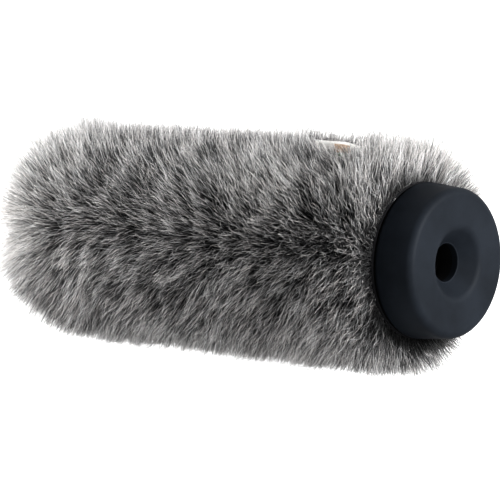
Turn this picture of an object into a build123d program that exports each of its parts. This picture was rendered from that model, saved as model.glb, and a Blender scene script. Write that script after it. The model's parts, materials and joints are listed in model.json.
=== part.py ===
from build123d import *
import math
import os

# A furry windscreen for a shotgun microphone, in millimetres.
# X runs along the microphone's axis and points rearwards, out of the hole. Z is up.
# The origin is the centre of the hole's mouth, where its gripping wall starts, at the bottom of the
# recess in the rubber cap.

# ---------------------------------------------------------------- driving dimensions
HOLE_R = 9.5             # the hole grips a tube of 19 to 22 mm
GRIP_LENGTH = 28.0       # gripping wall, from the mouth forwards
SLOT_END = -232.0        # where the microphone's tip stops
SLOT_R = 10.6            # inside radius of the slot's liner

FACE_X = 8.0             # the cap's rear face
RECESS_R = 18.0          # radius of the dished recess at the face
MOUTH_RING = 0.6         # narrow ring round the hole, where the dished recess begins
MOUTH_ROUND = 0.5        # rounding of the hole's edge, behind the gripping wall
CAP_REAR_R = 37.3        # the cap narrows slightly towards its face
CAP_FRONT_R = 39.3
CAP_FRONT_X = -14.0      # shoulder that the fur's hem meets
RIM_ROUND = 3.8
LIP = 3.0                # rubber in front of the mouth, before the grip collar
WEB_X = -4.0             # front side of the cap's rubber disc
NECK_R = 33.5            # the neck that the hem is clamped on
NECK_FRONT_X = -30.0
BEAD_R = 34.8            # bead that keeps the hem from slipping off the neck
BEAD_WIDTH = 3.0

INSERT_R = 31.8          # stiff ring inside the neck
INSERT_WALL = 3.6

COLLAR_R = 12.5
COLLAR_FLANGE_R = 20.0
COLLAR_FLANGE = 2.5
GROOVE_DEPTH = 1.0
GROOVE_WIDTH = 3.0
GROOVE_PITCH = 5.5
GROOVE_COUNT = 3

FOAM_R = 38.2            # outside of the foam
FOAM_SPIGOT_R = 28.0     # the foam's rear end, inside the insert ring
FOAM_NOSE_X = -256.0
NOSE_CORNER = 18.0
LINER_WALL = 0.9
PAD_THICK = 4.0

CLOTH_WALL = 1.0         # knitted backing of the pile
FUR_R = 60.0             # outside of the pile
PILE = 20.0              # pile in front of the nose's backing
NOSE_ROUND = 44.0
REAR_ROUND = 14.0
SEAM_X = -232.5          # sewn seam between the side panel and the nose panel
REST_FLAT = 1.5          # the pile is pressed flat where the windscreen lies on a surface

TAPE_THICK = 0.5
TAPE_WIDTH = 10.0

BINDING_R = 36.6
BINDING_FRONT_X = -25.0
ELASTIC_R = 0.9
BAND_WALL = 1.4
BAND_WIDTH = 6.5
BAND_GAP = 2.0

LABEL_X = -62.0          # middle of the label along the axis
LABEL_WIDTH = 36.0
LABEL_HEIGHT = 17.4
LABEL_LEAF = 0.35        # one leaf of the folded ribbon
LABEL_FOLD = 1.1         # thickness over the folded edge
LABEL_ROOT_R = 40.4      # lower edge of the label
LABEL_TURN = 8.0         # degrees from the top to the seam that holds the label
LABEL_LEAN = -3.0        # degrees from vertical to the label, positive towards -Y
LABEL_BACK = 15.0        # how far the label folds away from -Y
LABEL_FORWARD = 20.0     # how far it folds towards -Y
PARTING_ROOM = 4.0       # degrees of room past each end of the label's travel
STITCH_R = 0.3
STITCH_LENGTH = 2.4
STITCH_COUNT = 9

GAP = 0.1                # between layers that lie on each other

CLOTH_R = FOAM_R + GAP + CLOTH_WALL
PILE_R = CLOTH_R + GAP
CLOTH_NOSE_X = FOAM_NOSE_X - GAP - CLOTH_WALL
PILE_NOSE_X = CLOTH_NOSE_X - GAP
FUR_NOSE_X = PILE_NOSE_X - PILE
REAR_X = CAP_FRONT_X - 0.5


def turned(corners, rounds=()):
    """A solid of revolution about X from its half-section, given as (x, radius) corners."""
    section = make_face(Polyline(*corners, close=True))
    for corner, radius in rounds:
        vertex = section.vertices().sort_by_distance((corner[0], corner[1], 0))[0]
        section = fillet(vertex, radius)
    return revolve(Plane.XZ * section, Axis.X)


def tube(rear_x, front_x, inner, outer):
    """A plain tube along X."""
    return turned([(rear_x, inner), (rear_x, outer), (front_x, outer), (front_x, inner)])


def at_label(shape):
    """Moves a shape drawn with the label's root at the origin, and its height along Z, to its place."""
    root_y = -LABEL_ROOT_R * math.sin(math.radians(LABEL_TURN))
    root_z = LABEL_ROOT_R * math.cos(math.radians(LABEL_TURN))
    return Pos(LABEL_X, root_y, root_z) * Rot(X=LABEL_LEAN) * shape


# ---------------------------------------------------------------- rubber cap and what it holds
def rubber_end_cap():
    """The thick rear cap with its dished recess, lip round the hole, and hollow neck."""
    corners = [
        (-LIP, HOLE_R), (MOUTH_ROUND, HOLE_R), (MOUTH_ROUND, HOLE_R + MOUTH_RING), (FACE_X, RECESS_R),
        (FACE_X, CAP_REAR_R), (CAP_FRONT_X, CAP_FRONT_R), (CAP_FRONT_X, NECK_R),
        (NECK_FRONT_X + BEAD_WIDTH, NECK_R), (NECK_FRONT_X + BEAD_WIDTH, BEAD_R),
        (NECK_FRONT_X, BEAD_R), (NECK_FRONT_X, INSERT_R), (WEB_X, INSERT_R),
        (WEB_X, COLLAR_R), (-LIP, COLLAR_R),
    ]
    rounds = [
        ((MOUTH_ROUND, HOLE_R), MOUTH_ROUND), ((FACE_X, RECESS_R), 5.0),
        ((FACE_X, CAP_REAR_R), RIM_ROUND), ((CAP_FRONT_X, CAP_FRONT_R), 2.0),
        ((NECK_FRONT_X + BEAD_WIDTH, BEAD_R), 0.6), ((NECK_FRONT_X, BEAD_R), 0.8),
    ]
    return turned(corners, rounds)


def cap_insert_ring():
    """The stiff ring that the neck is moulded round."""
    inner = INSERT_R - INSERT_WALL
    return turned(
        [(WEB_X, inner), (WEB_X, INSERT_R), (NECK_FRONT_X, INSERT_R), (NECK_FRONT_X, inner)],
        [((NECK_FRONT_X, inner), 0.8)],
    )


def mic_grip_collar():
    """The soft sleeve that holds the microphone's tube, with grooves that leave ribs between them."""
    flange_front = WEB_X - COLLAR_FLANGE
    front = -GRIP_LENGTH
    body = turned([
        (-LIP, HOLE_R), (-LIP, COLLAR_R), (WEB_X, COLLAR_R), (WEB_X, COLLAR_FLANGE_R),
        (flange_front, COLLAR_FLANGE_R), (flange_front, COLLAR_R), (front, COLLAR_R), (front, HOLE_R),
    ])
    for index in range(GROOVE_COUNT):
        groove_x = flange_front - GROOVE_PITCH / 2 - index * GROOVE_PITCH
        body -= tube(groove_x, groove_x - GROOVE_WIDTH, HOLE_R - 1, HOLE_R + GROOVE_DEPTH)
    return body


# ---------------------------------------------------------------- foam core and the slot
def seam_strip(clearance):
    """The lengthwise seam tape's strip under the top of the side panel, grown by a clearance."""
    length = NECK_FRONT_X - SEAM_X - TAPE_WIDTH
    strip = tube(0, -length, FOAM_R - TAPE_THICK - clearance, FOAM_R + clearance)
    keep = Pos(-length / 2, 0, FOAM_R) * Box(length, TAPE_WIDTH + 2 * clearance, 4 * TAPE_WIDTH)
    return Pos(X=NECK_FRONT_X - GAP) * Rot(X=LABEL_TURN) * (strip & keep)


def foam_sleeve():
    """The thick open-cell foam tube, with a rear spigot inside the cap and rebates for the tapes."""
    bore = SLOT_R + LINER_WALL + GAP
    spigot_bore = COLLAR_R + GAP
    rear = WEB_X - COLLAR_FLANGE - GAP
    step = NECK_FRONT_X - GAP
    rebate = SEAM_X + TAPE_WIDTH / 2 + GAP
    body = turned([
        (rear, spigot_bore), (rear, FOAM_SPIGOT_R), (step, FOAM_SPIGOT_R), (step, FOAM_R),
        (rebate, FOAM_R), (rebate, FOAM_R - TAPE_THICK - GAP), (SLOT_END, FOAM_R - TAPE_THICK - GAP),
        (SLOT_END, bore), (-GRIP_LENGTH - GAP, bore), (-GRIP_LENGTH - GAP, spigot_bore),
    ])
    return body - seam_strip(GAP)


def foam_nose_plug():
    """The foam block that closes the front, with rounded corners and a pocket for the stop pad."""
    rear = SLOT_END - GAP
    rebate = SEAM_X - TAPE_WIDTH / 2 - GAP
    low = FOAM_R - TAPE_THICK - GAP
    pocket = SLOT_R + LINER_WALL + GAP
    floor = SLOT_END - PAD_THICK - GAP
    corner = (FOAM_NOSE_X, FOAM_R)
    body = turned(
        [(rear, pocket), (rear, FOAM_R), corner, (FOAM_NOSE_X, 0), (floor, 0), (floor, pocket)],
        [(corner, NOSE_CORNER)],
    )
    return body - tube(rear + 1, rebate, low, FOAM_R + 1)


def slot_liner():
    """The knitted liner that the microphone slides in."""
    return tube(-GRIP_LENGTH - 2 * GAP, SLOT_END, SLOT_R, SLOT_R + LINER_WALL)


def tip_stop_pad():
    """The pad at the slot's end."""
    return Pos(SLOT_END - GAP / 2 - PAD_THICK / 2, 0, 0) * Rot(Y=90) * Cylinder(
        SLOT_R + LINER_WALL, PAD_THICK - GAP
    )


# ---------------------------------------------------------------- cloth cover and its hem
def side_backing_cloth():
    """The knitted backing of the side panel, turned in behind the cap at its hem."""
    hem_rear = CAP_FRONT_X - GAP
    return turned([
        (hem_rear, NECK_R + GAP), (hem_rear, CLOTH_R), (SEAM_X, CLOTH_R),
        (SEAM_X, CLOTH_R - CLOTH_WALL), (hem_rear - CLOTH_WALL, CLOTH_R - CLOTH_WALL),
        (hem_rear - CLOTH_WALL, NECK_R + GAP),
    ])


def nose_backing_cloth():
    """The knitted backing of the nose panel."""
    outer_corner = (CLOTH_NOSE_X, CLOTH_R)
    inner_corner = (CLOTH_NOSE_X + CLOTH_WALL, CLOTH_R - CLOTH_WALL)
    rear = SEAM_X - GAP
    return turned(
        [(rear, inner_corner[1]), (rear, CLOTH_R), outer_corner, (outer_corner[0], 0),
         (inner_corner[0], 0), inner_corner],
        [(outer_corner, NOSE_CORNER + CLOTH_WALL), (inner_corner, NOSE_CORNER)],
    )


def nose_seam_tape():
    """The tape that covers the nose seam on the inside."""
    half = TAPE_WIDTH / 2
    return tube(SEAM_X + half, SEAM_X - half, FOAM_R - TAPE_THICK, FOAM_R)


def hem_binding():
    """The binding round the hem, with the channel that the elastic runs in."""
    rear = CAP_FRONT_X - 2 * GAP - CLOTH_WALL
    ring = turned(
        [(rear, NECK_R + GAP), (rear, BINDING_R), (BINDING_FRONT_X, BINDING_R),
         (BINDING_FRONT_X, NECK_R + GAP)],
        [((rear, BINDING_R), 0.6), ((BINDING_FRONT_X, BINDING_R), 0.6)],
    )
    return ring - elastic_ring(ELASTIC_R + GAP)


def elastic_ring(section_radius):
    """A round cord bent to a ring in the middle of the binding."""
    middle = Pos((CAP_FRONT_X - CLOTH_WALL + BINDING_FRONT_X) / 2, 0, 0)
    return middle * Rot(Y=90) * Torus((NECK_R + BINDING_R) / 2, section_radius)


def hem_clamp_band():
    """The band round the binding, cut through at its crimp."""
    rear = CAP_FRONT_X - CLOTH_WALL - (CAP_FRONT_X - CLOTH_WALL - BINDING_FRONT_X - BAND_WIDTH) / 2
    inner = BINDING_R + GAP / 2
    ring = tube(rear, rear - BAND_WIDTH, inner, inner + BAND_WALL)
    return ring - Pos(rear - BAND_WIDTH / 2, 0, -inner) * Box(BAND_WIDTH + 1, BAND_GAP, 6)


# ---------------------------------------------------------------- pile
def seam_line(radius):
    """A point of the parting between side and nose pile, as far from the nose curve's centre as given."""
    centre_x = FUR_NOSE_X + NOSE_ROUND
    centre_r = FUR_R - NOSE_ROUND
    across = PILE_R - centre_r
    along = SEAM_X - centre_x
    scale = radius / math.hypot(along, across)
    return (centre_x + along * scale, centre_r + across * scale)


def whole_pile():
    """The outer shape of all the fur, without its parting, pressed flat where it lies on a surface."""
    pile = turned(
        [(REAR_X, 0), (REAR_X, FUR_R), (FUR_NOSE_X, FUR_R), (FUR_NOSE_X, 0)],
        [((REAR_X, FUR_R), REAR_ROUND), ((FUR_NOSE_X, FUR_R), NOSE_ROUND)],
    )
    below = Pos(FUR_NOSE_X / 2, 0, -FUR_R - 10 + REST_FLAT) * Box(400, 200, 20)
    return pile - below


def label_parting():
    """The wedge that the fur leaves open for the label's travel."""
    reach = 2 * LABEL_HEIGHT
    back = math.radians(LABEL_BACK + PARTING_ROOM)
    forward = math.radians(LABEL_FORWARD + PARTING_ROOM)
    half_root = STITCH_LENGTH / 2 + 0.4
    outline = [
        (-half_root, -2), (half_root, -2), (half_root, 0),
        (reach * math.sin(back) + half_root, reach * math.cos(back)),
        (-reach * math.sin(forward) - half_root, reach * math.cos(forward)), (-half_root, 0),
    ]
    face = make_face(Polyline(*outline, close=True))
    return at_label(extrude(Plane.YZ * face, LABEL_WIDTH / 2 + 1, both=True))


def side_fur_pile(pile):
    """The side panel's pile: everything behind the seam line, outside the backing."""
    inner = seam_line(math.hypot(SEAM_X - FUR_NOSE_X - NOSE_ROUND, PILE_R - FUR_R + NOSE_ROUND))
    outer = seam_line(NOSE_ROUND + 10)
    region = turned([inner, (1, PILE_R), (1, FUR_R + 10), (outer[0], FUR_R + 10), outer])
    return (pile & region) - label_parting()


def nose_fur_pile(pile):
    """The nose panel's pile: everything in front of the seam line, outside the backing."""
    inner = (SEAM_X - GAP, PILE_R)
    outer = seam_line(NOSE_ROUND + 10)
    corner = (PILE_NOSE_X, PILE_R)
    region = turned(
        [inner, (outer[0] - GAP, outer[1]), (FUR_NOSE_X - 5, outer[1]), (FUR_NOSE_X - 5, 0),
         (PILE_NOSE_X, 0), corner],
        [(corner, NOSE_CORNER + CLOTH_WALL + GAP)],
    )
    return pile & region


# ---------------------------------------------------------------- label
def side_label():
    """The ribbon folded to a loop, with its ends down at the seam and its fold at the top."""
    half = LABEL_FOLD / 2
    outside = Box(LABEL_WIDTH, LABEL_FOLD, LABEL_HEIGHT, align=(Align.CENTER, Align.CENTER, Align.MIN))
    fold_edges = outside.edges().filter_by(Axis.X).group_by(Axis.Z)[-1]
    outside = fillet(fold_edges, half - 0.02)
    hollow = Pos(0, 0, 1.5) * Box(
        LABEL_WIDTH + 1, LABEL_FOLD - 2 * LABEL_LEAF, LABEL_HEIGHT - 1.5 - LABEL_LEAF,
        align=(Align.CENTER, Align.CENTER, Align.MIN),
    )
    return at_label(outside - hollow)


def label_bar():
    """The plain coloured bars woven on the label's near leaf: a wide one with a short one under it."""
    face_y = -LABEL_FOLD / 2 - 0.1
    wide = Pos(-1.0, face_y, LABEL_HEIGHT - 3.6) * Box(12.0, 0.2, 4.2)
    short = Pos(-4.2, face_y, LABEL_HEIGHT - 7.2) * Box(5.6, 0.2, 1.8)
    return at_label(Compound([wide, short]))


def label_stitches():
    """The stitches across the seam under the label."""
    spacing = LABEL_WIDTH / STITCH_COUNT
    lower = LABEL_ROOT_R - STITCH_R - 0.35
    turn = Rot(X=LABEL_TURN)
    thread = Pos(0, 0, lower) * Rot(X=90) * Cylinder(STITCH_R, STITCH_LENGTH)
    first = LABEL_X - LABEL_WIDTH / 2 + spacing / 2
    return Compound([Pos(X=first + index * spacing) * turn * thread for index in range(STITCH_COUNT)])


PILE_SHAPE = whole_pile()

PARTS = {
    "rubber_end_cap": rubber_end_cap(),
    "cap_insert_ring": cap_insert_ring(),
    "mic_grip_collar": mic_grip_collar(),
    "foam_sleeve": foam_sleeve(),
    "foam_nose_plug": foam_nose_plug(),
    "slot_liner": slot_liner(),
    "tip_stop_pad": tip_stop_pad(),
    "side_backing_cloth": side_backing_cloth(),
    "nose_backing_cloth": nose_backing_cloth(),
    "side_fur_pile": side_fur_pile(PILE_SHAPE),
    "nose_fur_pile": nose_fur_pile(PILE_SHAPE),
    "nose_seam_tape": nose_seam_tape(),
    "side_seam_tape": seam_strip(0),
    "hem_binding": hem_binding(),
    "hem_elastic": elastic_ring(ELASTIC_R),
    "hem_clamp_band": hem_clamp_band(),
    "side_label": side_label(),
    "label_bar": label_bar(),
    "label_stitches": label_stitches(),
}

os.makedirs("parts", exist_ok=True)
for name, shape in PARTS.items():
    export_step(shape, f"parts/{name}.step")
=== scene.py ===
import json
import math

import bpy
import numpy as np
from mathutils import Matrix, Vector
from mathutils.kdtree import KDTree


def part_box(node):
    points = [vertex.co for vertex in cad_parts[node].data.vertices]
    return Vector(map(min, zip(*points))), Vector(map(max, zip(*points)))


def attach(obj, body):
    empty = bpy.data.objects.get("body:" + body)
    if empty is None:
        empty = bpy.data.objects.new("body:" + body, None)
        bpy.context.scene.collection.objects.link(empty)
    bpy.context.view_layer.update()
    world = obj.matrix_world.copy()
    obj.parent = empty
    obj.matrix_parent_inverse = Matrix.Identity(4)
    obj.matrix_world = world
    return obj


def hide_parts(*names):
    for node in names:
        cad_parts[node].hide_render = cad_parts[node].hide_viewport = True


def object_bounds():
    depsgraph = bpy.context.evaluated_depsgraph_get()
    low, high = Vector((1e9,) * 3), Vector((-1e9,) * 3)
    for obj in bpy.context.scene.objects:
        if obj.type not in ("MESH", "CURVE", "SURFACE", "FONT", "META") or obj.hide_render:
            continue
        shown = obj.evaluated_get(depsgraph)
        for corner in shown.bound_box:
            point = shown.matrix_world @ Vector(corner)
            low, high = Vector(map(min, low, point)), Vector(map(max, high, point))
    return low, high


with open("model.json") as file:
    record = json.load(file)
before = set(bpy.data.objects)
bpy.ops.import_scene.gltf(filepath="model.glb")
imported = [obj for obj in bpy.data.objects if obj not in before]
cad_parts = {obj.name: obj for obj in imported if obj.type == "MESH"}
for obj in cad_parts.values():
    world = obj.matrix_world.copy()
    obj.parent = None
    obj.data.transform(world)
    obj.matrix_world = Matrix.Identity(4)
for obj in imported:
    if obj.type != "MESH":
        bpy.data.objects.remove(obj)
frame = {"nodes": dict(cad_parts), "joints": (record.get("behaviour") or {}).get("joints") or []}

# The looks of a furry microphone windscreen, in metres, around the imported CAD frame.
# X runs rearwards along the microphone's axis, Z is up. Angles round the axis start at the top
# and turn towards -Y, the side with the label.

CAD_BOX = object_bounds()
BODY = "windscreen"
LABEL_BODY = "label"
RNG = np.random.default_rng(41)
UV_LAYER = "OFBake"


# ---------------------------------------------------------------- sizes, from the frame
CLOTH_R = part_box("side_backing_cloth")[1].z
HEM_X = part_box("side_backing_cloth")[1].x - 0.001
CLOTH_NOSE_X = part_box("nose_backing_cloth")[0].x
CLOTH_ROUND = 0.019
FUR_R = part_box("side_fur_pile")[1].z
FUR_NOSE_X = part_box("nose_fur_pile")[0].x - 0.0025
FUR_ROUND = 0.041
FLOOR_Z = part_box("side_fur_pile")[0].z
CAP_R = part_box("rubber_end_cap")[1].z

JOINT = frame["joints"][0]
LABEL_ROOT = Vector(JOINT["pos_m"])
LABEL_TRAVEL = [math.radians(a) for a in JOINT["range_deg"]]
LABEL_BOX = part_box("side_label")
LABEL_TOP = Vector((LABEL_ROOT.x, LABEL_BOX[1].y, LABEL_BOX[1].z))
LABEL_WIDTH = LABEL_BOX[1].x - LABEL_BOX[0].x
LABEL_HEIGHT = LABEL_BOX[1].z - LABEL_ROOT.z
LABEL_REST = math.atan2(-(LABEL_TOP.y - LABEL_ROOT.y), LABEL_HEIGHT)


# ---------------------------------------------------------------- node helpers
def new_material(name, roughness, specular):
    """A material whose Principled shader has its plain values set, returned with its nodes."""
    material = bpy.data.materials.new(name)
    material.use_nodes = True
    nodes = material.node_tree.nodes
    shader = nodes["Principled BSDF"]
    shader.inputs["Roughness"].default_value = roughness
    shader.inputs["Specular IOR Level"].default_value = specular
    return material, nodes, material.node_tree.links, shader


def add_node(nodes, kind, **values):
    """A node with some of its inputs or properties set by name."""
    node = nodes.new(kind)
    for key, value in values.items():
        label = key.replace("_", " ")
        if label in node.inputs:
            node.inputs[label].default_value = value
        else:
            setattr(node, key, value)
    return node


def object_texture(nodes, links, kind, **values):
    """A texture node that reads the piece's own coordinates."""
    place = nodes.new("ShaderNodeTexCoord")
    texture = add_node(nodes, kind, **values)
    links.new(place.outputs["Object"], texture.inputs["Vector"])
    return texture


def uv_places(nodes, links):
    """The UV node, and a node that splits its place into X and Y."""
    uv = add_node(nodes, "ShaderNodeUVMap", uv_map=UV_LAYER)
    split = nodes.new("ShaderNodeSeparateXYZ")
    links.new(uv.outputs["UV"], split.inputs[0])
    return uv, split


def colour_ramp(nodes, links, value, stops):
    """The colour of a value, from (place, (r, g, b)) stops."""
    ramp = nodes.new("ShaderNodeValToRGB")
    elements = ramp.color_ramp.elements
    while len(elements) < len(stops):
        elements.new(0.5)
    for element, (place, colour) in zip(elements, stops):
        element.position = place
        element.color = (*colour, 1)
    links.new(value, ramp.inputs["Fac"])
    return ramp.outputs["Color"]


def mix_colour(nodes, blend):
    """A colour mix node's factor, first, second and result sockets."""
    node = nodes.new("ShaderNodeMix")
    node.data_type = "RGBA"
    node.blend_type = blend
    node.inputs[0].default_value = 1.0
    return node.inputs[0], node.inputs[6], node.inputs[7], node.outputs[2]


def add_bump(nodes, links, shader, height, strength, distance):
    """Small relief on a shader, from a height."""
    bump = add_node(nodes, "ShaderNodeBump", Strength=strength, Distance=distance)
    links.new(height, bump.inputs["Height"])
    links.new(bump.outputs["Normal"], shader.inputs["Normal"])


def shade(colour, factor):
    """A colour made lighter or darker."""
    return tuple(c * factor for c in colour)


# ---------------------------------------------------------------- fur material
def fur_material(name, stops, low, high):
    """Hair colour from each strand's own UV: v runs from root to tip and u is the strand's tone, with its
    painted light and shade.
    """
    material, nodes, links, shader = new_material(name, 0.55, 0.35)
    _, split = uv_places(nodes, links)
    along = colour_ramp(nodes, links, split.outputs["Y"], stops)
    tone = colour_ramp(nodes, links, split.outputs["X"], [
        (0.0, (low, low, low)), (0.45, (low * 1.8, low * 1.8, low * 1.8)), (0.60, (0.8, 0.8, 0.8)),
        (0.80, (1.04, 0.98, 0.95)), (0.92, (high, high, high)), (1.0, (high, high * 0.97, high * 0.94)),
    ])
    _, first, second, result = mix_colour(nodes, "MULTIPLY")
    links.new(along, first)
    links.new(tone, second)
    links.new(result, shader.inputs["Base Color"])
    shader.inputs["Sheen Weight"].default_value = 0.25
    shader.inputs["Sheen Roughness"].default_value = 0.4
    return material


# ---------------------------------------------------------------- pile shape
# Strands start on the cloth's profile and end on the pile's. Both are measured along from the hem.
TUBE_LENGTH = HEM_X - (CLOTH_NOSE_X + CLOTH_ROUND)
ROOT_LENGTH = TUBE_LENGTH + CLOTH_ROUND * math.pi / 2 + (CLOTH_R - CLOTH_ROUND)
REAR_ROUND = 0.011
FUR_START_X = HEM_X - REAR_ROUND
FUR_SIDE = FUR_START_X - (FUR_NOSE_X + FUR_ROUND)
FUR_LENGTH = FUR_SIDE + FUR_ROUND * math.pi / 2 + (FUR_R - FUR_ROUND)

FUR_LIMIT_R = 0.0722      # no hair stands further from the axis
REAR_LEAN = 0.006         # how far all hair leans back towards the hem
PARTING = 0.21            # the side parting's height, as a share of the pile's radius
LEAN_BESIDE, LEAN_ON_TOP, LEAN_UNDER = 0.0065, 0.007, 0.002


def upper_lower(angle):
    """How far a place faces up, and how far it faces down, from 0 to 1."""
    return np.clip(np.cos(angle), 0, 1), np.clip(-np.cos(angle), 0, 1)


def bullet(along, start_x, straight, radius, corner):
    """
    Points and normals (x, r, nx, nr) along a profile: straight side, round corner, flat nose.
    Behind its start, where the distance is below zero, the profile turns in round the rear corner.
    """
    turn = np.clip((along - straight) / corner, 0, math.pi / 2)
    flat = np.maximum(along - straight - corner * math.pi / 2, 0)
    flat = flat + np.maximum(-along - REAR_ROUND * math.pi / 2, 0)
    back = np.clip(-along / REAR_ROUND, 0, math.pi / 2)
    x = start_x - np.clip(along, 0, straight) - corner * np.sin(turn) + REAR_ROUND * np.sin(back)
    r = radius - corner * (1 - np.cos(turn)) - flat - REAR_ROUND * (1 - np.cos(back))
    return x, np.maximum(r, 0), np.sin(back) - np.sin(turn), np.cos(turn) * np.cos(back)


def tip_place(root_along, angle=0.0):
    """How far along the tip profile a strand ends, from how far along the root profile it starts."""
    even = REAR_ROUND - REAR_LEAN
    corner = TUBE_LENGTH - even
    from_root = [0, 0.002, 0.008, 0.030, TUBE_LENGTH, ROOT_LENGTH]
    to_tip = [-0.013, -0.010, -0.003, 0.030 - even, corner, FUR_LENGTH]
    to_tip_beside = [-0.011, -0.008, -0.001, 0.029 - even, corner, FUR_LENGTH]
    beside = np.sin(angle) ** 4
    spread = np.interp(root_along, from_root, to_tip)
    spread = spread + (np.interp(root_along, from_root, to_tip_beside) - spread) * beside
    return spread + 0.004 * np.clip(-np.sin(angle), 0, 1) * np.exp(-root_along / 0.01)


def round_axis(x, r, angle):
    """Points (n, 3) from their place along the axis, radius and angle."""
    return np.stack([x, -r * np.sin(angle), r * np.cos(angle)], axis=-1)


class Waves:
    """Smooth random noise in space: a sum of sine waves of about one wavelength."""

    COUNT = 14

    def __init__(self, wavelength):
        direction = RNG.normal(size=(self.COUNT, 3))
        direction /= np.linalg.norm(direction, axis=1)[:, None]
        self.k = direction * (2 * math.pi / wavelength) * RNG.uniform(0.7, 1.4, (self.COUNT, 1))
        self.phase = RNG.uniform(0, 2 * math.pi, self.COUNT)

    def __call__(self, points):
        return np.sin(points @ self.k.T + self.phase).sum(axis=1) / math.sqrt(self.COUNT / 2)


SWIRL_ALONG = Waves(0.060)
SWIRL_ROUND = Waves(0.060)
LOCK_ALONG = Waves(0.013)
LOCK_ROUND = Waves(0.013)
LENGTH_WAVE = Waves(0.030)
TONE_WAVE = Waves(0.045)
SWIRL, LOCK = 0.0016, 0.0021      # how far the swirls and the small locks bend the tips


def random_roots(count):
    """Root places and angles, spread so that the strands' tips cover the pile's outside evenly."""
    table = np.linspace(0, ROOT_LENGTH, 2000)
    tips = tip_place(table)
    _, r, _, _ = bullet(tips, FUR_START_X, FUR_SIDE, FUR_R, FUR_ROUND)
    weight = np.concatenate([[0], np.cumsum(0.5 * (r[1:] + r[:-1]) * np.diff(tips))])
    along = np.interp(RNG.uniform(0, weight[-1], count), weight, table)
    return along, RNG.uniform(-math.pi, math.pi, count)


def roots_and_tips(along, angle):
    """Where strands start, their surface normals there, and where they would end if combed evenly."""
    x, r, nx, nr = bullet(along, HEM_X, TUBE_LENGTH, CLOTH_R, CLOTH_ROUND)
    root = round_axis(x, r, angle)
    normal = round_axis(nx, nr, angle)
    x, r, _, _ = bullet(tip_place(along, angle), FUR_START_X, FUR_SIDE, FUR_R, FUR_ROUND)
    tip = round_axis(x, r, angle)
    upper, lower = upper_lower(angle)
    corner = along - TUBE_LENGTH + 0.020 - 0.020 * upper
    corner = np.clip(corner / (ROOT_LENGTH - TUBE_LENGTH + 0.008 - 0.020 * upper), 0, 1)
    rear = np.clip(1 - along / 0.14, 0, 1)
    hem = np.exp(-along / 0.012)
    fuller = 1 + (0.20 + 0.05 * upper - 0.22 * lower) * np.sin(math.pi * corner)
    fuller = fuller + upper * (0.07 + 0.10 * rear - 0.04 * hem) + lower * (0.08 - 0.08 * hem)
    return root, normal, root + (tip - root) * fuller[:, None]


def comb(along, angle):
    """
    How far tips are brushed towards the nose and round the axis. The hair leans back, and turns
    up and down from a parting along each side.
    """
    beside = np.sin(angle) ** 2
    height = np.cos(angle)
    upper, lower = upper_lower(angle)
    above = np.clip((height - PARTING) * 3, 0, 1)
    below = np.clip((PARTING - height) * 7, 0, 1)
    rear = np.clip(1 - along / 0.15, 0, 1)
    front = np.clip((along - 0.14) / 0.06, 0, 1)
    towards_nose = -LEAN_BESIDE * beside - LEAN_ON_TOP * upper - LEAN_UNDER * (1 - front) * lower
    up = 0.001 + 0.008 * rear + 0.003 * front
    down = 0.0035 + 0.0045 * front + 0.004 * rear ** 2
    return towards_nose, np.sign(np.sin(angle)) * beside * (below * down - above * up)


def side_directions(normal):
    """Unit vectors along the surface: towards the nose, and round the axis."""
    round_way = np.cross(np.array([1.0, 0, 0]), normal)
    length = np.linalg.norm(round_way, axis=1)[:, None]
    round_way = round_way / np.maximum(length, 1e-6)
    return np.cross(round_way, normal), round_way


LABEL_ROOM = math.radians(2.5)      # clear of the label's travel behind it, and twice that in front
VALLEY = math.radians(24)           # how much lower still the hair lies in front of the label


def part_at_label(points, spread):
    """
    Turns the points that lie in the label's travel about its root line, to just outside that travel.
    In front of the label the hair lies lower, so that the upper part of the label shows.
    """
    low = LABEL_REST + LABEL_TRAVEL[0] - LABEL_ROOM
    high = LABEL_REST + LABEL_TRAVEL[1] + 2 * LABEL_ROOM
    root_z = LABEL_ROOT.z - 0.0015
    dy = points[..., 1] - LABEL_ROOT.y
    dz = points[..., 2] - root_z
    turn = np.arctan2(-dy, dz)
    reach = np.hypot(dy, dz)
    half_width = LABEL_WIDTH / 2
    near = points[..., 2] > LABEL_ROOT.z - 0.02
    beside = near & (np.abs(points[..., 0] - LABEL_ROOT.x) < half_width + 0.0006)

    place = (points[..., 0] - LABEL_ROOT.x) / half_width
    deepest = 0.20 + 0.80 * np.clip((place + 0.75) / 0.85, 0, 1) ** 2
    front = high + VALLEY * (1 - 4 * spread) * deepest * np.exp(-((place - 0.08) / 1.12) ** 8)
    flattened = front + (turn - high) * (math.pi / 2 - front) / (math.pi / 2 - high)
    turn = np.where(near & (turn > high) & (turn < math.pi / 2), flattened, turn)
    inside = beside & (turn > low) & (turn < high)
    turn = np.where(inside & (turn < (low + high) / 2), low - spread, turn)
    turn = np.where(inside & (turn >= (low + high) / 2), front + spread, turn)
    points[..., 1] = np.where(near, LABEL_ROOT.y - reach * np.sin(turn), points[..., 1])
    points[..., 2] = np.where(near, root_z + reach * np.cos(turn), points[..., 2])


# ---------------------------------------------------------------- strands
LEVELS = np.array([0.0, 0.3, 0.58, 0.82, 1.0])      # where a strand's rings are, from root to tip
RINGS = len(LEVELS) - 1
SIDES = 3
TAPER = np.array([0.9, 1.0, 0.85, 0.55])
CLUMPS = 15000
TONE_COLUMNS = 64
PALEST = 0.999

TUFT = (0.030, 2.08), (0.012, 0.22)                     # a pale tuft beside the cap, low down
LABEL_FRONT = (LABEL_ROOT.x - 0.01, 0.85), (0.03, 0.35)  # the hair in front of the label


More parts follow.
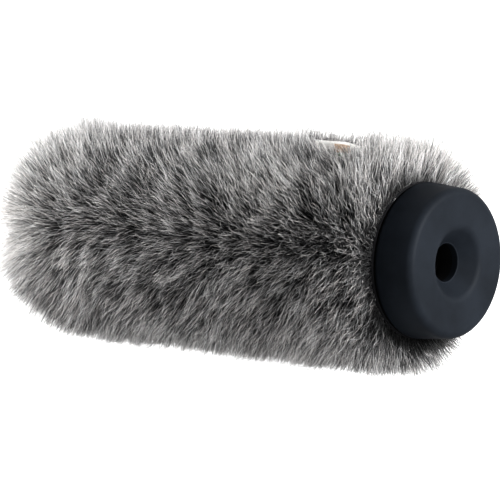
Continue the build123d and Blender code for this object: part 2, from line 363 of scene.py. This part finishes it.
def clump_tips():
    """Where the tips of the small clumps are, and the tree that finds a strand's clump."""
    along, angle = random_roots(CLUMPS)
    root, normal, tip = roots_and_tips(along, angle)
    forward, round_way = side_directions(normal)
    jitter = RNG.normal(size=(CLUMPS, 3))
    tip = tip + forward * (0.0027 * jitter[:, :1]) + round_way * (0.0027 * jitter[:, 1:2])
    tip = root + (tip - root) * (1 + 0.05 * jitter[:, 2:3])
    tree = KDTree(CLUMPS)
    for index, point in enumerate(root):
        tree.insert(point, index)
    tree.balance()
    return tip, tree


def near_place(place, angle, centre, reach):
    """1 at a place on the pile, falling to 0 round it."""
    return np.exp(-((place - centre[0]) / reach[0]) ** 2 - ((angle - centre[1]) / reach[1]) ** 2)


def strand_tones(root, along, angle, nose, rim):
    """Each strand's tone, from 0 for dark to 1 for pale, and how pale its root is. Besides random tone, both
    carry painted light and shade.
    """
    upper, lower = upper_lower(angle)
    beside = np.sin(angle) ** 2
    uneven = 0.20 + 0.17 * beside * (1 - nose) - 0.04 * upper - 0.07 * lower
    tone = np.clip(0.55 + uneven * RNG.normal(size=len(along)) + 0.05 * TONE_WAVE(root), 0, PALEST)

    # Masks for painted light and shade: the lit upper and far side by the cap, the shaded near side, and a
    # shaded band along the lower near side.
    lit = np.clip(np.cos(angle + 0.45), 0, 1)
    shaded = np.clip(np.sin(angle), 0, 1) ** 3 * (1 - 0.8 * np.cos(angle))
    lower_shaded_band = np.exp(-((angle - 2.1) / 0.35) ** 2)
    # Painted light at the nose, with painted shade under it, and painted shade on the top away from the nose
    # and the hem.
    tone = tone + nose * (0.32 - 0.17 * upper - 0.56 * lower) - 0.11 * upper * (1 - np.maximum(nose, rim))
    tone = tone + 0.18 * near_place(along, angle, *TUFT) + 0.28 * near_place(root[:, 0], angle, *LABEL_FRONT)
    # Painted shade in the band on the lower near side, and painted light on the lower side near the hem.
    tone = tone - 0.20 * lower_shaded_band + 0.13 * lower * np.exp(-along / 0.09)
    # Near the hem: painted light on the lit side, painted shade on the shaded side.
    tone = np.clip(tone + rim * (0.18 * lit - 0.32 * shaded), 0, PALEST)
    # Roots start pale as painted light: near the hem on the lit side, and at the nose except underneath.
    pale_nose = nose * (0.20 + 0.35 * beside) * (1 - lower)
    return tone, np.maximum(0.80 * np.exp(-along / 0.032) * lit, pale_nose)


def strand_shares(root, angle, nose, tone, length):
    """How much of the full length each strand has: uneven at the nose and below, shorter where dark."""
    count = len(angle)
    share = length[0] + (length[1] - length[0]) * RNG.beta(1.6, 1.3, (count, 1))
    share = share * (1 + 0.035 * LENGTH_WAVE(root)[:, None])
    uneven = np.maximum(nose, upper_lower(angle)[1])[:, None]
    share = share * (1.04 + 0.17 * uneven - 0.38 * uneven * RNG.uniform(0, 1, (count, 1)))
    return share * np.interp(tone, [0.35, 0.55], [0.93, 1.0])[:, None]


def curved_lines(root, tip, normal, forward, round_way, curl):
    """Centre lines (count, levels, 3) that bow outwards from root to tip, with a small wave."""
    count = len(root)
    reach = np.linalg.norm(tip - root, axis=1)[:, None]
    middle = root + (tip - root) * 0.42 + normal * reach * 0.12 + RNG.normal(scale=0.0007, size=(count, 3))
    t = LEVELS[None, :, None]
    lines = (1 - t) ** 2 * root[:, None] + 2 * t * (1 - t) * middle[:, None] + t ** 2 * tip[:, None]
    wave = np.sin(t * RNG.uniform(4, 9, (count, 1, 1)) + RNG.uniform(0, 6.3, (count, 1, 1)))
    side = forward * RNG.normal(size=(count, 1)) + round_way * RNG.normal(size=(count, 1))
    lines += side[:, None] * wave * t * curl
    return lines


def keep_clear(lines, angle):
    """Moves lines out of the label's travel, the cap and the floor, and inside the pile's limits."""
    count = len(angle)
    part_at_label(lines, RNG.uniform(0, 0.10, (count, 1)))
    reach = np.hypot(lines[..., 1], lines[..., 2])
    furthest = HEM_X + 0.0045 + 0.005 * np.abs(np.cos(angle))
    lines[..., 0] = np.minimum(lines[..., 0], furthest[:, None])
    inner = np.where(lines[..., 0] > HEM_X, CAP_R + 0.0003, 0)
    lines[..., 1:] *= (np.clip(reach, inner, FUR_LIMIT_R) / np.maximum(reach, 1e-6))[..., None]
    lift = FLOOR_Z + 0.0001 + RNG.uniform(0, 0.0008, (count, 1))
    lines[..., 2] = np.maximum(lines[..., 2], lift)


def grow(count, length, clumping, curl, clumps, stray=0.0013):
    """
    Strands as centre lines (count, levels, 3), their tones, and how pale their roots are, both with painted
    light and shade.
    Length is a range of shares of the full pile, and stray is how far tips scatter at random.
    """
    along, angle = random_roots(count)
    root, normal, tip = roots_and_tips(along, angle)
    forward, round_way = side_directions(normal)
    tips, tree = clumps
    owner = np.array([tree.find(point)[1] for point in root])
    pull = clumping * RNG.uniform(0.3, 1.0, (count, 1))
    tip = tip + (tips[owner] - tip) * pull

    towards_nose, away = comb(along, angle)
    rim = np.exp(-along / 0.018)
    nose = np.clip((along - TUBE_LENGTH + 0.04) / 0.06, 0, 1)
    tip += forward * (towards_nose + SWIRL * SWIRL_ALONG(root) + LOCK * LOCK_ALONG(root))[:, None]
    away = away * (1 - 0.7 * rim) + SWIRL * SWIRL_ROUND(root) + LOCK * LOCK_ROUND(root)
    tip += round_way * away[:, None]
    tip += np.clip(RNG.normal(size=(count, 3)), -2, 2) * (stray * (1 + 0.9 * rim))[:, None]

    tone, pale = strand_tones(root, along, angle, nose, rim)
    tip = root + (tip - root) * strand_shares(root, angle, nose, tone, length)
    lines = curved_lines(root, tip, normal, forward, round_way, curl)
    keep_clear(lines, angle)
    return lines, tone, pale


def strand_points(lines, thickness):
    """Points of tapered three-sided strands: each has its rings and then its tip."""
    count = len(lines)
    way = np.gradient(lines, axis=1)
    way /= np.linalg.norm(way, axis=2)[..., None] + 1e-12
    helper = RNG.normal(size=(count, 1, 3))
    across = np.cross(way, np.broadcast_to(helper, way.shape))
    across /= np.linalg.norm(across, axis=2)[..., None] + 1e-12
    other = np.cross(way, across)
    radius = (thickness * RNG.uniform(0.75, 1.3, (count, 1)) * TAPER)[..., None, None]
    turn = np.arange(SIDES) * 2 * math.pi / SIDES
    ring = np.cos(turn)[:, None] * across[:, :RINGS, None] + np.sin(turn)[:, None] * other[:, :RINGS, None]
    body = (lines[:, :RINGS, None] + radius * ring).reshape(count, RINGS * SIDES, 3)
    return np.concatenate([body, lines[:, -1:]], axis=1).reshape(-1, 3)


def strand_faces():
    """One strand's faces: quads between its rings, triangles at its tip, and the root's end."""
    quads = [
        [k * SIDES + s, k * SIDES + (s + 1) % SIDES, (k + 1) * SIDES + (s + 1) % SIDES, (k + 1) * SIDES + s]
        for k in range(RINGS - 1) for s in range(SIDES)
    ]
    last = (RINGS - 1) * SIDES
    tips = [[last + s, last + (s + 1) % SIDES, RINGS * SIDES] for s in range(SIDES)]
    return quads + tips + [[2, 1, 0]]


def strand_uvs(tone, pale):
    """Each point's UV: u is the strand's tone, v runs from root to tip, and starts later where the root is
    pale with painted light.
    """
    v = np.concatenate([np.repeat(LEVELS[:RINGS], SIDES), [1.0]])
    inset = np.concatenate([np.tile([0.2, 0.5, 0.8], RINGS), [0.5]])
    u = (np.floor(tone * TONE_COLUMNS)[:, None] + inset[None, :]) / TONE_COLUMNS
    # Painted light: a pale root starts further up the root-to-tip colour ramp.
    v = v[None, :] + pale[:, None] * (1 - v[None, :])
    return np.stack([u, v * 0.98 + 0.01], axis=-1).reshape(-1, 2)


def strand_mesh(name, lines, tone, pale, thickness, material):
    """A mesh piece of many strands."""
    count = len(lines)
    points = strand_points(lines, thickness)
    faces = strand_faces()
    corners = np.concatenate([np.ravel(face) for face in faces]).astype(np.int64)
    loops = (corners[None, :] + (np.arange(count) * (RINGS * SIDES + 1))[:, None]).ravel()
    totals = np.tile([len(face) for face in faces], count)

    mesh = bpy.data.meshes.new(name)
    mesh.vertices.add(len(points))
    mesh.vertices.foreach_set("co", points.astype(np.float32).ravel())
    mesh.loops.add(len(loops))
    mesh.loops.foreach_set("vertex_index", loops.astype(np.int32))
    mesh.polygons.add(len(totals))
    mesh.polygons.foreach_set("loop_start", np.concatenate([[0], np.cumsum(totals)[:-1]]).astype(np.int32))
    mesh.polygons.foreach_set("loop_total", totals.astype(np.int32))
    layer = mesh.uv_layers.new(name=UV_LAYER)
    layer.data.foreach_set("uv", strand_uvs(tone, pale)[loops].astype(np.float32).ravel())
    mesh.update(calc_edges=True)
    mesh.polygons.foreach_set("use_smooth", np.ones(len(totals), bool))
    mesh.materials.append(material)
    piece = bpy.data.objects.new(name, mesh)
    bpy.context.scene.collection.objects.link(piece)
    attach(piece, BODY)
    return piece


def fur(prefix, strands, thickness, material, pieces):
    """Splits strands along the axis into pieces with the same number of strands each."""
    lines, tone, pale = strands
    order = np.argsort(lines[:, 0, 0], kind="stable")
    made = []
    for index, part in enumerate(np.array_split(order, pieces)):
        name = f"{prefix}_{index + 1:02d}"
        made.append(strand_mesh(name, lines[part], tone[part], pale[part], thickness, material))
    return made


def build_fur():
    """The whole pile: guard hair, a shorter and darker undercoat between it, and long pale wisps."""
    clumps = clump_tips()
    guard_colours = [
        (0.0, (0.008, 0.008, 0.009)), (0.42, (0.020, 0.021, 0.022)), (0.60, (0.15, 0.152, 0.153)),
        (0.78, (0.55, 0.555, 0.56)), (1.0, (0.90, 0.90, 0.895)),
    ]
    under_colours = [
        (0.0, (0.008, 0.008, 0.009)), (0.45, (0.022, 0.023, 0.024)), (0.8, (0.10, 0.102, 0.104)),
        (1.0, (0.24, 0.24, 0.243)),
    ]
    guard = fur_material("guard_hair", guard_colours, 0.15, 1.3)
    under = fur_material("undercoat_hair", under_colours, 0.4, 1.2)
    pieces = fur("pile", grow(105000, (0.58, 1.06), 0.8, 0.0008, clumps), 0.00013, guard, 13)
    fur("undercoat", grow(32000, (0.4, 0.75), 0.55, 0.0009, clumps), 0.00014, under, 5)
    lines, tone, pale = grow(26000, (0.88, 1.14), 0.45, 0.0014, clumps, 0.0023)
    fur("wisps", (lines, 0.72 + 0.279 * tone, pale), 0.00013, guard, 4)
    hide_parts("side_fur_pile", "nose_fur_pile")


# ---------------------------------------------------------------- materials of the other pieces
def rubber(name, colour, roughness, grain):
    """Moulded rubber: fine grain, and broad faint changes of tone."""
    material, nodes, links, shader = new_material(name, roughness, 0.12)
    cloud = object_texture(nodes, links, "ShaderNodeTexNoise", Scale=38.0, Detail=5.0, Roughness=0.6)
    stops = [(0.35, shade(colour, 0.85)), (0.65, shade(colour, 1.22))]
    links.new(colour_ramp(nodes, links, cloud.outputs["Fac"], stops), shader.inputs["Base Color"])
    fine = object_texture(nodes, links, "ShaderNodeTexNoise", Scale=2600.0, Detail=3.0)
    add_bump(nodes, links, shader, fine.outputs["Fac"], grain, 0.0001)
    return material


def woven(name, colour, scale, depth):
    """Knitted or woven cloth: two crossed wave patterns, with uneven yarn."""
    material, nodes, links, shader = new_material(name, 0.85, 0.2)
    crossed = add_node(nodes, "ShaderNodeMath", operation="MULTIPLY")
    for socket, direction in enumerate(("X", "Z")):
        wave = object_texture(
            nodes, links, "ShaderNodeTexWave",
            Scale=scale, Distortion=1.2, Detail=1.0, bands_direction=direction,
        )
        links.new(wave.outputs["Fac"], crossed.inputs[socket])
    stops = [(0.1, shade(colour, 0.55)), (0.7, colour)]
    links.new(colour_ramp(nodes, links, crossed.outputs[0], stops), shader.inputs["Base Color"])
    add_bump(nodes, links, shader, crossed.outputs[0], depth, 0.0004)
    return material


def plastic(name, colour, roughness):
    """Moulded plastic with a light spark-eroded grain."""
    material, nodes, links, shader = new_material(name, roughness, 0.5)
    fine = object_texture(nodes, links, "ShaderNodeTexNoise", Scale=1500.0, Detail=2.0)
    stops = [(0.3, shade(colour, 0.9)), (0.7, shade(colour, 1.1))]
    links.new(colour_ramp(nodes, links, fine.outputs["Fac"], stops), shader.inputs["Base Color"])
    add_bump(nodes, links, shader, fine.outputs["Fac"], 0.15, 0.0001)
    return material


def foam(name, colour):
    """Open-cell foam: small dark cells."""
    material, nodes, links, shader = new_material(name, 0.9, 0.1)
    cells = object_texture(nodes, links, "ShaderNodeTexVoronoi", Scale=900.0)
    stops = [(0.15, shade(colour, 0.2)), (0.55, colour)]
    links.new(colour_ramp(nodes, links, cells.outputs["Distance"], stops), shader.inputs["Base Color"])
    add_bump(nodes, links, shader, cells.outputs["Distance"], 0.8, 0.0006)
    return material


def finish_cad():
    """A procedural finish on every CAD node that stays."""
    tape = woven("seam_tape", (0.05, 0.05, 0.05), 1400.0, 0.4)
    finishes = {
        "rubber_end_cap": rubber("cap_rubber", (0.0172, 0.0208, 0.0266), 0.55, 0.12),
        "mic_grip_collar": rubber("collar_rubber", (0.012, 0.012, 0.013), 0.7, 0.25),
        "cap_insert_ring": plastic("insert_plastic", (0.03, 0.03, 0.032), 0.45),
        "hem_clamp_band": plastic("band_nylon", (0.03, 0.03, 0.03), 0.4),
        "nose_seam_tape": tape,
        "side_seam_tape": tape,
        "hem_binding": woven("binding_tape", (0.03, 0.03, 0.03), 1200.0, 0.5),
        "hem_elastic": woven("elastic_cover", (0.5, 0.5, 0.48), 2200.0, 0.5),
        "label_stitches": woven("thread", (0.6, 0.6, 0.58), 4000.0, 0.4),
    }
    for name, material in finishes.items():
        node = frame["nodes"][name]
        node.data.materials.clear()
        node.data.materials.append(material)


# ---------------------------------------------------------------- soft pieces under the fur
AROUND = 120              # points round a turned piece
PROFILE_STEP = 0.003      # longest step along its section
CENTRE_R = 0.0004         # a turned solid's section stops this close to the axis
CLEAR = 0.0001            # gap that keeps soft pieces off their neighbours
LINER_WALL = 0.0009


def new_piece(name, points, faces, material, body):
    """A smooth mesh piece that rides on a body."""
    mesh = bpy.data.meshes.new(name)
    mesh.from_pydata([tuple(p) for p in points], [], faces)
    mesh.polygons.foreach_set("use_smooth", [True] * len(faces))
    mesh.materials.append(material)
    mesh.update()
    piece = bpy.data.objects.new(name, mesh)
    bpy.context.scene.collection.objects.link(piece)
    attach(piece, body)
    return piece


def lathe(name, section, material, wobble=0.0):
    """A ring turned from a closed section of (x, radius) corners, with an uneven surface if wobble is set."""
    profile = []
    for (x0, r0), (x1, r1) in zip(section, section[1:] + section[:1]):
        steps = max(1, math.ceil(math.hypot(x1 - x0, r1 - r0) / PROFILE_STEP))
        profile += [(x0 + (x1 - x0) * k / steps, r0 + (r1 - r0) * k / steps) for k in range(steps)]
    profile = np.array(profile)
    rings = len(profile)
    x, r = np.repeat(profile[:, 0], AROUND), np.repeat(profile[:, 1], AROUND)
    angle = np.tile(np.arange(AROUND) * 2 * math.pi / AROUND, rings)
    points = round_axis(x, r, angle)
    if wobble:
        bumps = Waves(0.008)(points) + 0.6 * Waves(0.004)(points)
        points += wobble * bumps[:, None] * round_axis(0 * x, 1, angle)
    faces = [
        (i * AROUND + j, i * AROUND + (j + 1) % AROUND,
         (i + 1) % rings * AROUND + (j + 1) % AROUND, (i + 1) % rings * AROUND + j)
        for i in range(rings) for j in range(AROUND)
    ]
    return new_piece(name, points, faces, material, BODY)


def rounded_profile(start_x, nose_x, radius, corner):
    """A side line and a round nose corner, down to the nose's flat, as (x, radius) corners."""
    steps = 8
    turns = [math.pi / 2 * k / steps for k in range(steps + 1)]
    bend = [(nose_x + corner - corner * math.sin(t), radius - corner + corner * math.cos(t)) for t in turns]
    return [(start_x, radius)] + bend


def build_foam():
    """The foam sleeve with its stepped rear, and the foam block that closes the nose."""
    foam_grey = foam("open_cell_foam", (0.05, 0.05, 0.054))
    low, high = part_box("foam_sleeve")
    liner_high, cap_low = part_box("slot_liner")[1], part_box("rubber_end_cap")[0]
    bore, around_collar, spigot = liner_high.z + CLEAR, 0.0126, 0.0280
    step, mouth = cap_low.x - 0.0002, liner_high.x
    rebate, under_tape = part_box("nose_seam_tape")[1].x + 0.0002, high.z - 0.0013
    core = lathe("foam_core", [
        (high.x, around_collar), (high.x, spigot), (step, spigot), (step, high.z), (rebate, high.z),
        (rebate, under_tape), (low.x, under_tape), (low.x, bore), (mouth, bore), (mouth, around_collar),
    ], foam_grey, 0.00008)
    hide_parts("foam_sleeve")

    low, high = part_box("foam_nose_plug")
    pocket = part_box("tip_stop_pad")[0].x - CLEAR
    tape_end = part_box("nose_seam_tape")[0].x - CLEAR
    rear = [(high.x, bore), (high.x, under_tape), (tape_end, under_tape)]
    outline = rounded_profile(tape_end, low.x, high.z, 0.018)
    inside = [(low.x, CENTRE_R), (pocket, CENTRE_R), (pocket, bore)]
    tip = lathe("foam_tip", rear + outline + inside, foam_grey, 0.00008)
    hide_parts("foam_nose_plug")


def build_slot():
    """The felt pad that stops the microphone's tip, and the slot's knitted liner."""
    felt = foam("pad_felt", (0.08, 0.08, 0.08))
    low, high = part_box("tip_stop_pad")
    pad = lathe("stop_pad", [
        (high.x, CENTRE_R), (high.x, high.z), (low.x, high.z), (low.x, CENTRE_R),
    ], felt, 0.00003)
    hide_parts("tip_stop_pad")

    low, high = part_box("slot_liner")
    inner = high.z - LINER_WALL
    knitted = woven("liner_knit", (0.025, 0.025, 0.026), 1600.0, 0.4)
    liner = lathe("liner_tube", [(high.x, inner), (high.x, high.z), (low.x, high.z), (low.x, inner)], knitted)
    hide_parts("slot_liner")


def build_backing():
    """The pile's knitted backing, stretched round the foam and over its nose."""
    knit = woven("backing_knit", (0.03, 0.03, 0.033), 900.0, 0.6)
    wall = 0.001
    low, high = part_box("side_backing_cloth")
    section = [(high.x, high.z - wall), (high.x, high.z), (low.x, high.z), (low.x, high.z - wall)]
    side = lathe("backing_side", section, knit)
    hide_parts("side_backing_cloth")

    low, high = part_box("nose_backing_cloth")
    outer = rounded_profile(high.x, low.x, high.z, CLOTH_ROUND) + [(low.x, CENTRE_R)]
    inner = rounded_profile(high.x, low.x + wall, high.z - wall, CLOTH_ROUND - wall)
    inner += [(low.x + wall, CENTRE_R)]
    nose = lathe("backing_nose", inner + outer[::-1], knit)
    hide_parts("nose_backing_cloth")


# ---------------------------------------------------------------- label
LABEL_THICKNESS = 0.0011
LABEL_CURL = math.radians(42)
LABEL_RIPPLE = math.radians(5)
LABEL_FOLD = 0.06         # the share of the height over which the fold closes
LABEL_CELLS = (36, 20)    # faces along and up each leaf


def label_leaf(u, v, side):
    """A point of the folded label: u along it from the nose side, v up it, side -1 in front and +1 behind."""
    turn = LABEL_CURL * max(0.0, (u - 0.10) / 0.90) ** 1.2 + LABEL_RIPPLE * math.sin(9 * u)
    y = z = 0.0
    steps = 12
    for k in range(steps):
        lean = LABEL_REST + turn * min(v, (k + 0.5) / steps * v)
        y -= math.sin(lean) * v * LABEL_HEIGHT / steps
        z += math.cos(lean) * v * LABEL_HEIGHT / steps
    lean = LABEL_REST + turn * v
    fold = math.sqrt(max(0.0, 1 - max(0.0, v - (1 - LABEL_FOLD)) ** 2 / LABEL_FOLD ** 2))
    gap = side * LABEL_THICKNESS / 2 * fold
    x = LABEL_ROOT.x + (u - 0.5) * LABEL_WIDTH
    return Vector((x, LABEL_ROOT.y + y + math.cos(lean) * gap, LABEL_ROOT.z + z + math.sin(lean) * gap))


def within(nodes, links, value, low, high):
    """1 where a value is between two limits, and 0 elsewhere."""
    both = add_node(nodes, "ShaderNodeMath", operation="MULTIPLY")
    for socket, (operation, limit) in enumerate((("GREATER_THAN", low), ("LESS_THAN", high))):
        test = add_node(nodes, "ShaderNodeMath", operation=operation)
        links.new(value, test.inputs[0])
        test.inputs[1].default_value = limit
        links.new(test.outputs[0], both.inputs[socket])
    return both.outputs[0]


def label_material():
    """White satin ribbon with a woven mark of two plain bars, placed by the leaf's own width and height."""
    material, nodes, links, shader = new_material("label_satin", 0.5, 0.3)
    uv, split = uv_places(nodes, links)
    weave = add_node(nodes, "ShaderNodeTexChecker", Scale=260.0)
    weave.inputs["Color1"].default_value = (0.90, 0.89, 0.86, 1)
    weave.inputs["Color2"].default_value = (0.78, 0.77, 0.74, 1)
    links.new(uv.outputs["UV"], weave.inputs["Vector"])
    threads = add_node(nodes, "ShaderNodeTexNoise", Scale=120.0, Detail=2.0)
    links.new(uv.outputs["UV"], threads.inputs["Vector"])
    tan = [(0.35, (0.50, 0.34, 0.28)), (0.5, (0.62, 0.46, 0.36)), (0.65, (0.70, 0.56, 0.34))]
    green = [(0.35, (0.35, 0.52, 0.30)), (0.65, (0.62, 0.74, 0.55))]

    colour = weave.outputs["Color"]
    for stops, across, up in ((tan, (0.180, 0.350), (0.68, 0.93)), (green, (0.180, 0.260), (0.54, 0.64))):
        cover = add_node(nodes, "ShaderNodeMath", operation="MULTIPLY")
        links.new(within(nodes, links, split.outputs["X"], *across), cover.inputs[0])
        links.new(within(nodes, links, split.outputs["Y"], *up), cover.inputs[1])
        factor, first, second, result = mix_colour(nodes, "MIX")
        links.new(cover.outputs[0], factor)
        links.new(colour, first)
        links.new(colour_ramp(nodes, links, threads.outputs["Fac"], stops), second)
        colour = result
    links.new(colour, shader.inputs["Base Color"])
    return material


def build_label():
    """The folded ribbon label, its right-hand corner curling over towards the side it faces."""
    across, up = LABEL_CELLS
    column = up + 1
    leaf = (across + 1) * column
    points, uvs, faces = [], [], []
    for side in (-1, 1):
        for i in range(across + 1):
            for j in range(column):
                u, v = i / across, j / up
                points.append(label_leaf(u, v, side))
                uvs.append((u * 0.5 + (0.0 if side < 0 else 0.5), v))
    for side in (0, 1):
        for i in range(across):
            for j in range(up):
                a = side * leaf + i * column + j
                quad = (a, a + column, a + column + 1, a + 1)
                faces.append(quad if side == 0 else quad[::-1])
    for i in range(across):
        a, b = i * column, (i + 1) * column
        faces.append((a, leaf + a, leaf + b, b))
    for i in (0, across):
        for j in range(up):
            a = i * column + j
            quad = (a, a + 1, leaf + a + 1, leaf + a)
            faces.append(quad if i == 0 else quad[::-1])
    piece = new_piece("folded_label", points, faces, label_material(), LABEL_BODY)
    layer = piece.data.uv_layers.new(name=UV_LAYER)
    for loop in piece.data.loops:
        layer.data[loop.index].uv = uvs[loop.vertex_index]
    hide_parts("side_label", "label_bar")


# ---------------------------------------------------------------- studio
VIEW_AZIMUTH = math.radians(41.63)
VIEW_ELEVATION = math.radians(6.15)
VIEW_DISTANCE = 1.5236
LENS = 208.8
AIM_FROM_CENTRE = Vector((0.0033, 0.0023, -0.0041))
FLOOR_HALF = 40.0
SUNS = (      # name, direction towards it, strength, width in degrees
    ("cap_light", (0.90, 0.16, 0.26), 3.6, 30),
    ("nose_light", (-0.94, -0.24, 0.20), 2.0, 40),
    ("front_light", (0.55, -0.83, 0.08), 1.0, 40),
)


def add_camera():
    """The camera, a long lens on the cap's side, a little above the axis."""
    low, high = (Vector(corner) for corner in CAD_BOX)
    aim = (low + high) / 2 + AIM_FROM_CENTRE
    away = Vector((
        math.sin(VIEW_AZIMUTH) * math.cos(VIEW_ELEVATION),
        -math.cos(VIEW_AZIMUTH) * math.cos(VIEW_ELEVATION),
        math.sin(VIEW_ELEVATION),
    ))
    data = bpy.data.cameras.new("camera")
    data.lens = LENS
    data.sensor_width = 36.0
    data.clip_end = 100.0
    camera = bpy.data.objects.new("camera", data)
    camera.location = aim + away * VIEW_DISTANCE
    camera.rotation_euler = away.to_track_quat("Z", "Y").to_euler()
    bpy.context.scene.collection.objects.link(camera)
    bpy.context.scene.camera = camera


def add_floor():
    """A pale floor, bright to the camera, that lights the underside softly."""
    z = FLOOR_Z - 0.0002
    mesh = bpy.data.meshes.new("floor")
    corners = [(x * FLOOR_HALF, y * FLOOR_HALF, z) for x, y in ((-1, -1), (1, -1), (1, 1), (-1, 1))]
    mesh.from_pydata(corners, [], [(0, 1, 2, 3)])
    material, nodes, links, shader = new_material("floor", 0.9, 0.0)
    shader.inputs["Base Color"].default_value = (0.25, 0.25, 0.25, 1)
    shader.inputs["Emission Color"].default_value = (1, 1, 1, 1)
    seen = nodes.new("ShaderNodeLightPath")
    glow = add_node(nodes, "ShaderNodeMapRange")
    glow.inputs["To Min"].default_value = 0.43
    glow.inputs["To Max"].default_value = 0.98
    links.new(seen.outputs["Is Camera Ray"], glow.inputs["Value"])
    links.new(glow.outputs["Result"], shader.inputs["Emission Strength"])
    mesh.materials.append(material)
    floor = bpy.data.objects.new("floor", mesh)
    bpy.context.scene.collection.objects.link(floor)


def add_world():
    """A soft sweep, bright behind and above the object and darker in front, and white to the camera."""
    world = bpy.data.worlds.new("studio")
    bpy.context.scene.world = world
    world.use_nodes = True
    nodes, links = world.node_tree.nodes, world.node_tree.links
    background = nodes["Background"]
    place = nodes.new("ShaderNodeTexCoord")
    toward = add_node(nodes, "ShaderNodeVectorMath", operation="DOT_PRODUCT")
    toward.inputs[1].default_value = Vector((-0.30, 0.82, 0.50)).normalized()
    links.new(place.outputs["Generated"], toward.inputs[0])
    spread = add_node(nodes, "ShaderNodeMapRange")
    spread.interpolation_type = "SMOOTHSTEP"
    spread.inputs["From Min"].default_value = -0.50
    spread.inputs["From Max"].default_value = 0.50
    spread.inputs["To Min"].default_value = 0.13
    spread.inputs["To Max"].default_value = 0.80
    links.new(toward.outputs["Value"], spread.inputs["Value"])
    seen = nodes.new("ShaderNodeLightPath")
    choose = nodes.new("ShaderNodeMix")
    choose.data_type = "FLOAT"
    links.new(seen.outputs["Is Camera Ray"], choose.inputs[0])
    links.new(spread.outputs["Result"], choose.inputs[2])
    choose.inputs[3].default_value = 1.0
    links.new(choose.outputs[0], background.inputs["Strength"])
    background.inputs["Color"].default_value = (1, 1, 1, 1)


def add_lights():
    """Three broad soft lights from afar, and a small round panel near the nose."""
    for name, toward, strength, width in SUNS:
        data = bpy.data.lights.new(name, "SUN")
        data.energy = strength
        data.angle = math.radians(width)
        light = bpy.data.objects.new(name, data)
        light.rotation_euler = Vector(toward).to_track_quat("Z", "Y").to_euler()
        bpy.context.scene.collection.objects.link(light)

    data = bpy.data.lights.new("nose_panel", "AREA")
    data.shape = "DISK"
    data.size = 0.12
    data.energy = 0.8
    panel = bpy.data.objects.new("nose_panel", data)
    nose = Vector((FUR_NOSE_X, 0, 0))
    panel.location = nose + Vector((-0.13, -0.26, 0.10))
    panel.rotation_euler = (panel.location - nose).to_track_quat("Z", "Y").to_euler()
    panel.visible_camera = False
    bpy.context.scene.collection.objects.link(panel)


add_camera()
add_floor()
add_world()
add_lights()
bpy.context.scene.view_settings.view_transform = "Standard"
bpy.context.scene.view_settings.look = "High Contrast"
finish_cad()
build_foam()
build_slot()
build_backing()
build_label()
build_fur()
